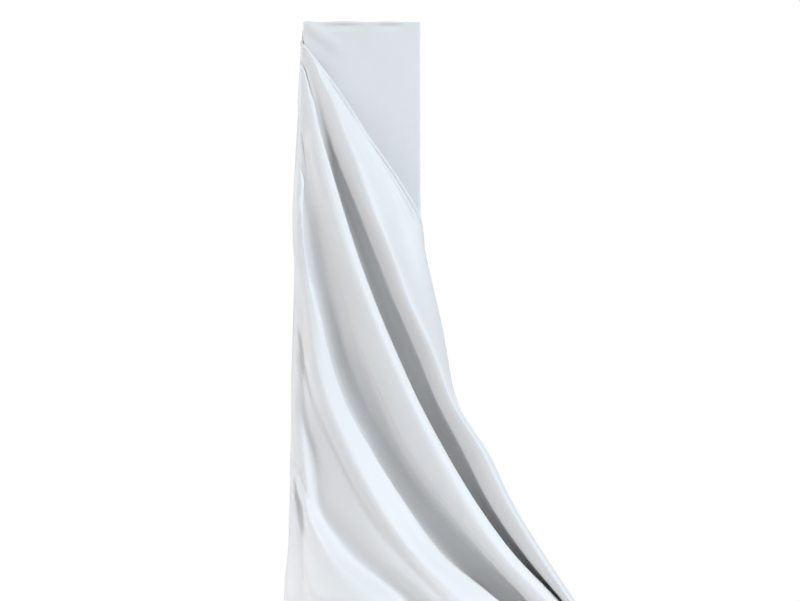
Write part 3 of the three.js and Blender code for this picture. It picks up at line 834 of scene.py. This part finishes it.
# The placket's section, as (share of its half width, height over the sleeve), with the sewn edges thicker
PLACKET_SECTION = [(-1, 0.35), (-0.97, 0.85), (-0.88, 1.1), (-0.72, 1.15), (-0.62, 0.85), (0, 0.8),
                   (0.62, 0.85), (0.72, 1.15), (0.88, 1.1), (0.97, 0.85), (1, 0.35)]
PLACKET_STITCHES = (0.8, 1.12)  # where its stitches run, in the same way
THREAD_POINTS = 90


def make_placket():
    low, high = (np.array(corner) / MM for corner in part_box("back_placket"))
    width, foot, top = high[0] - low[0], low[2], high[2]
    outer = []
    for height in np.linspace(foot, top, 150):
        wave = 0.5 * noise.noise((0.3, 7.7, height * 0.012))
        outer.append([(wave - share * width / 2, low[1] + rise, height) for share, rise in PLACKET_SECTION])
    outer = np.array(outer)
    inner = outer.copy()
    inner[..., 1] = low[1]
    placket = shell("placket_cloth", outer, inner)
    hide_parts("back_placket")
    threads = []
    aside, rise = PLACKET_STITCHES
    heights = np.linspace(foot + 3, top - 3, THREAD_POINTS)
    for name, side in (("left", 1), ("right", -1)):
        line = np.array([(side * aside * width / 2, low[1] + rise, height) for height in heights])
        outwards = np.tile((0.0, 1.0, 0.0), (THREAD_POINTS, 1))
        threads.append(make_stitches("placket_stitches_" + name, line, outwards))
    for piece in [placket] + threads:
        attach(piece, "column")
    placket.data.materials.append(bpy.data.materials["sleeve_satin_look"])


FELT_FUZZ = 0.35  # how far its edge strays


def make_felt():
    """The pad, in rings from the middle of its underside, round its edge, to the middle of its top."""
    low, high = (np.array(corner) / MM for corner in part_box("felt_pad"))
    half, thick = high[0], high[2] - low[2]
    under = [(0.5, 0)] + [(half * share, 0) for share in (0.25, 0.5, 0.75, 0.95)]
    under += [(half - 0.8, 0.1), (half - 0.1, 0.9)]
    profile = under + [(half, thick / 2)] + [(reach, thick - height) for reach, height in under[::-1]]
    rings = []
    for reach, height in profile:
        places, outward = square_ring(reach, min(4, reach * 0.4))
        fuzz = [FELT_FUZZ * noise.noise((x * 0.21, y * 0.21, height)) for x, y, _ in places]
        share = 1 if 0 < height < thick else 0
        rings.append(places + outward * np.array(fuzz)[:, None] * share + np.array((0, 0, height)))
    pad = link_mesh("felt_sheet", np.concatenate(rings) * MM, tube_faces(len(rings), len(rings[0])))
    outward_faces(pad)
    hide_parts("felt_pad")
    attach(pad, "column")
    pad.data.materials.append(felt_look())


# -------------------------------------------- materials

WARMTH = 0.006  # how much yellower satin is where it is darker


def set_inputs(node, values):
    """Sets a node's inputs by name, a space in the name being written _."""
    for name, value in values.items():
        node.inputs[name.replace("_", " ")].default_value = value
    return node


def new_material(name, **values):
    material = bpy.data.materials.new(name)
    material.use_nodes = True
    tree = material.node_tree
    return material, tree, set_inputs(tree.nodes["Principled BSDF"], values)


def add_node(tree, kind, **values):
    return set_inputs(tree.nodes.new(kind), values)


def coordinates(tree, scale, cloth=False):
    """Places in metres times the scale, on the flat cloth or in the object's own frame."""
    if cloth:
        source = tree.nodes.new("ShaderNodeUVMap")
        source.uv_map = "cloth"
        places = source.outputs["UV"]
    else:
        places = tree.nodes.new("ShaderNodeTexCoord").outputs["Object"]
    mapping = add_node(tree, "ShaderNodeMapping", Scale=scale)
    tree.links.new(places, mapping.inputs["Vector"])
    return mapping.outputs["Vector"]


def noise_factor(tree, scale, cloth=False, **values):
    texture = add_node(tree, "ShaderNodeTexNoise", Scale=1, **values)
    tree.links.new(coordinates(tree, scale, cloth), texture.inputs["Vector"])
    return texture.outputs["Fac"]


def ramp(tree, shader, name, factor, *stops):
    """Sets the shader's input of that name by a ramp over the factor. Its stops are (place, colour), or
    (place, grey)."""
    node = tree.nodes.new("ShaderNodeValToRGB")
    elements = node.color_ramp.elements
    while len(elements) < len(stops):
        elements.new(0.5)
    for element, (place, colour) in zip(elements, stops):
        element.position = place
        element.color = (*colour, 1) if isinstance(colour, tuple) else (colour, colour, colour, 1)
    tree.links.new(factor, node.inputs["Fac"])
    tree.links.new(node.outputs["Color"], shader.inputs[name])


def add_bump(tree, shader, height, strength, distance):
    node = add_node(tree, "ShaderNodeBump", Strength=strength, Distance=distance)
    tree.links.new(height, node.inputs["Height"])
    tree.links.new(node.outputs["Normal"], shader.inputs["Normal"])


def add_math(tree, operation, first, second):
    node = tree.nodes.new("ShaderNodeMath")
    node.operation = operation
    for socket, value in zip(node.inputs, (first, second)):
        if isinstance(value, (int, float)):
            socket.default_value = value
        else:
            tree.links.new(value, socket)
    return node.outputs["Value"]


def shade(colour, share):
    return tuple(channel * share for channel in colour)


def satin(name, colour, variation):
    """Matt satin: a fine weave that runs with the cloth, slubs along it, soft shifts of tone and gloss."""
    material, tree, shader = new_material(
        name, Specular_IOR_Level=0.5, Sheen_Weight=0.3, Sheen_Roughness=0.35
    )
    soft = noise_factor(tree, (9, 4, 1), cloth=True, Detail=3)
    red, green, blue = shade(colour, 1 - variation)
    dark = (red, green - WARMTH, blue - 2 * WARMTH)
    ramp(tree, shader, "Base Color", soft, (0.3, dark), (0.7, shade(colour, 1 + variation)))
    ramp(tree, shader, "Roughness", soft, (0.3, 0.48), (0.7, 0.54))
    warp = noise_factor(tree, (2600, 90, 1), cloth=True, Detail=1)
    weft = noise_factor(tree, (90, 2600, 1), cloth=True, Detail=1)
    add_bump(tree, shader, add_math(tree, "ADD", warp, weft), strength=0.25, distance=0.0001)
    return material


def thread_look():
    """Twisted white thread, made once."""
    made = bpy.data.materials.get("thread_look")
    if made:
        return made
    material, tree, shader = new_material("thread_look", Roughness=0.6, Sheen_Weight=0.2)
    twist = noise_factor(tree, (2500, 2500, 2500), Detail=2)
    ramp(tree, shader, "Base Color", twist, (0.3, 0.66), (0.7, 0.8))
    add_bump(tree, shader, twist, strength=0.4, distance=0.0001)
    return material


def wood_look(name, pale, dark, scale, ring_scale):
    """Wood whose grain runs along the axis with the smallest scale."""
    material, tree, shader = new_material(name)
    grain = noise_factor(tree, scale, Detail=6, Roughness=0.62, Distortion=0.4)
    bands = add_node(tree, "ShaderNodeTexWave", Scale=1, Distortion=5, Detail=3)
    tree.links.new(coordinates(tree, ring_scale), bands.inputs["Vector"])
    mixed = add_math(tree, "ADD", add_math(tree, "MULTIPLY", grain, 0.65),
                     add_math(tree, "MULTIPLY", bands.outputs["Fac"], 0.35))
    ramp(tree, shader, "Base Color", mixed, (0.25, dark), (0.55, pale), (0.85, shade(pale, 0.9)))
    ramp(tree, shader, "Roughness", grain, (0.3, 0.75), (0.7, 0.6))
    add_bump(tree, shader, grain, strength=0.35, distance=0.0006)
    return material


def metal_look(name, pale, dark, roughness, scale, metallic=1.0, bumpiness=0.15):
    """Metal with mottled tone and gloss and fine scratches."""
    material, tree, shader = new_material(name, Metallic=metallic)
    mottle = noise_factor(tree, (scale, scale, scale), Detail=4)
    ramp(tree, shader, "Base Color", mottle, (0.3, dark), (0.7, pale))
    low, high = roughness
    ramp(tree, shader, "Roughness", mottle, (0.3, high), (0.7, low))
    scratch = noise_factor(tree, (scale * 12, scale * 1.5, scale * 12), Detail=2)
    add_bump(tree, shader, scratch, strength=bumpiness, distance=0.0001)
    return material


def felt_look():
    """Grey needle felt: tangled fibres in lighter and darker greys."""
    material, tree, shader = new_material("felt_look", Roughness=0.95, Sheen_Weight=0.4)
    fibres = noise_factor(tree, (900, 900, 900), Detail=5, Distortion=2.5)
    ramp(tree, shader, "Base Color", fibres, (0.35, (0.13, 0.135, 0.14)), (0.65, (0.27, 0.275, 0.28)))
    add_bump(tree, shader, fibres, strength=0.8, distance=0.0008)
    return material


def dress_nodes():
    """Gives each CAD node that stays in view its look."""
    ply_pale, ply_dark = (0.69, 0.53, 0.34), (0.5, 0.35, 0.2)
    pine_pale, pine_dark = (0.76, 0.58, 0.36), (0.56, 0.36, 0.18)
    steel = metal_look("steel_plate_look", (0.16, 0.165, 0.17), (0.09, 0.092, 0.095), (0.4, 0.6), 30, 0.9)
    zinc = metal_look("zinc_look", (0.66, 0.67, 0.68), (0.5, 0.51, 0.53), (0.25, 0.42), 260)
    chrome = metal_look("grommet_look", (0.72, 0.72, 0.73), (0.6, 0.6, 0.62), (0.14, 0.26), 120)
    paint = metal_look("strip_paint_look", (0.78, 0.785, 0.79), (0.74, 0.745, 0.75), (0.35, 0.45), 90, 0, 0.3)
    upright = wood_look("plywood_look", ply_pale, ply_dark, (90, 90, 5), (14, 14, 1.2))
    lying = wood_look("plywood_flat_look", ply_pale, ply_dark, (5, 90, 90), (1.2, 14, 14))
    pine = wood_look("softwood_look", pine_pale, pine_dark, (160, 160, 6), (60, 60, 2))
    looks = {"base_plate": steel, "base_board": lying, "lid_board": lying, "lid_grommet": chrome,
             "clamp_strip": paint}
    for side in ("front", "back", "left", "right"):
        looks[side + "_panel"] = upright
    for corner in ("front_left", "front_right", "back_left", "back_right"):
        looks["batten_" + corner] = pine
        looks["base_screw_" + corner] = zinc
    for place in ("front", "middle", "back"):
        looks["clamp_screw_" + place] = paint
    for node, look in looks.items():
        for k in range(len(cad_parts[node].data.materials)):
            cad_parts[node].data.materials[k] = look


# -------------------------------------------- studio

FILL_COLOUR = (1.0, 0.98, 0.955)
FLOOR_MIDDLE = (0.25, -0.15)
FLOOR_RADIUS = 1.05
FLOOR_SIDES = 96


def area_light(name, place, aim, size, power, colour):
    data = bpy.data.lights.new(name, "AREA")
    data.shape = "DISK"
    data.size = size
    data.energy = power
    data.color = colour
    light = bpy.data.objects.new(name, data)
    light.location = place
    light.rotation_euler = (Vector(aim) - Vector(place)).to_track_quat("-Z", "Y").to_euler()
    bpy.context.scene.collection.objects.link(light)


def make_world(fill, seen):
    """Even light of strength fill from all round. The camera sees a plain background of strength seen."""
    world = bpy.data.worlds.new("studio")
    world.use_nodes = True
    tree = world.node_tree
    background = set_inputs(tree.nodes["Background"], {"Color": (*FILL_COLOUR, 1), "Strength": fill})
    bright = add_node(tree, "ShaderNodeBackground", Color=(1, 1, 1, 1), Strength=seen)
    path = tree.nodes.new("ShaderNodeLightPath")
    mix = tree.nodes.new("ShaderNodeMixShader")
    tree.links.new(path.outputs["Is Camera Ray"], mix.inputs["Fac"])
    tree.links.new(background.outputs[0], mix.inputs[1])
    tree.links.new(bright.outputs[0], mix.inputs[2])
    tree.links.new(mix.outputs[0], tree.nodes["World Output"].inputs["Surface"])
    bpy.context.scene.world = world


def make_floor():
    x, y = FLOOR_MIDDLE
    vertices = [(x, y, 0)]
    for i in range(FLOOR_SIDES):
        angle = 2 * math.pi * i / FLOOR_SIDES
        vertices.append((x + FLOOR_RADIUS * math.cos(angle), y + FLOOR_RADIUS * math.sin(angle), 0))
    faces = [(0, 1 + i, 1 + (i + 1) % FLOOR_SIDES) for i in range(FLOOR_SIDES)]
    floor = link_mesh("floor", vertices, faces)
    material, tree, shader = new_material("floor_look", Roughness=0.8)
    cloud = noise_factor(tree, (3, 3, 3), Detail=3)
    ramp(tree, shader, "Base Color", cloud, (0.3, 0.79), (0.7, 0.81))
    floor.data.materials.append(material)


def make_studio():
    make_world(fill=0.18, seen=1.0)
    area_light("key", (3.4, -3.65, 3.2), (0.1, 0, 0.6), 2.4, 304, (0.835, 0.92, 1.0))
    area_light("left_fill", (-3.9, -1.0, 1.6), (-0.1, 0, 0.6), 2.4, 100, (1.0, 0.985, 1.0))
    area_light("left_rim", (-4.0, 0.9, 1.8), (-0.1, 0, 0.6), 2.2, 66, (0.86, 0.94, 1.0))
    area_light("back_fill", (1.6, 4.4, 2.4), (0.1, 0, 0.6), 2.4, 90, (0.95, 0.97, 1.0))
    make_floor()
    scene = bpy.context.scene
    scene.view_settings.view_transform = "Standard"
    scene.view_settings.look = "None"


make_camera()
make_swag()
make_sleeve()
make_lid_cover()
make_placket()
make_felt()
dress_nodes()
make_studio()
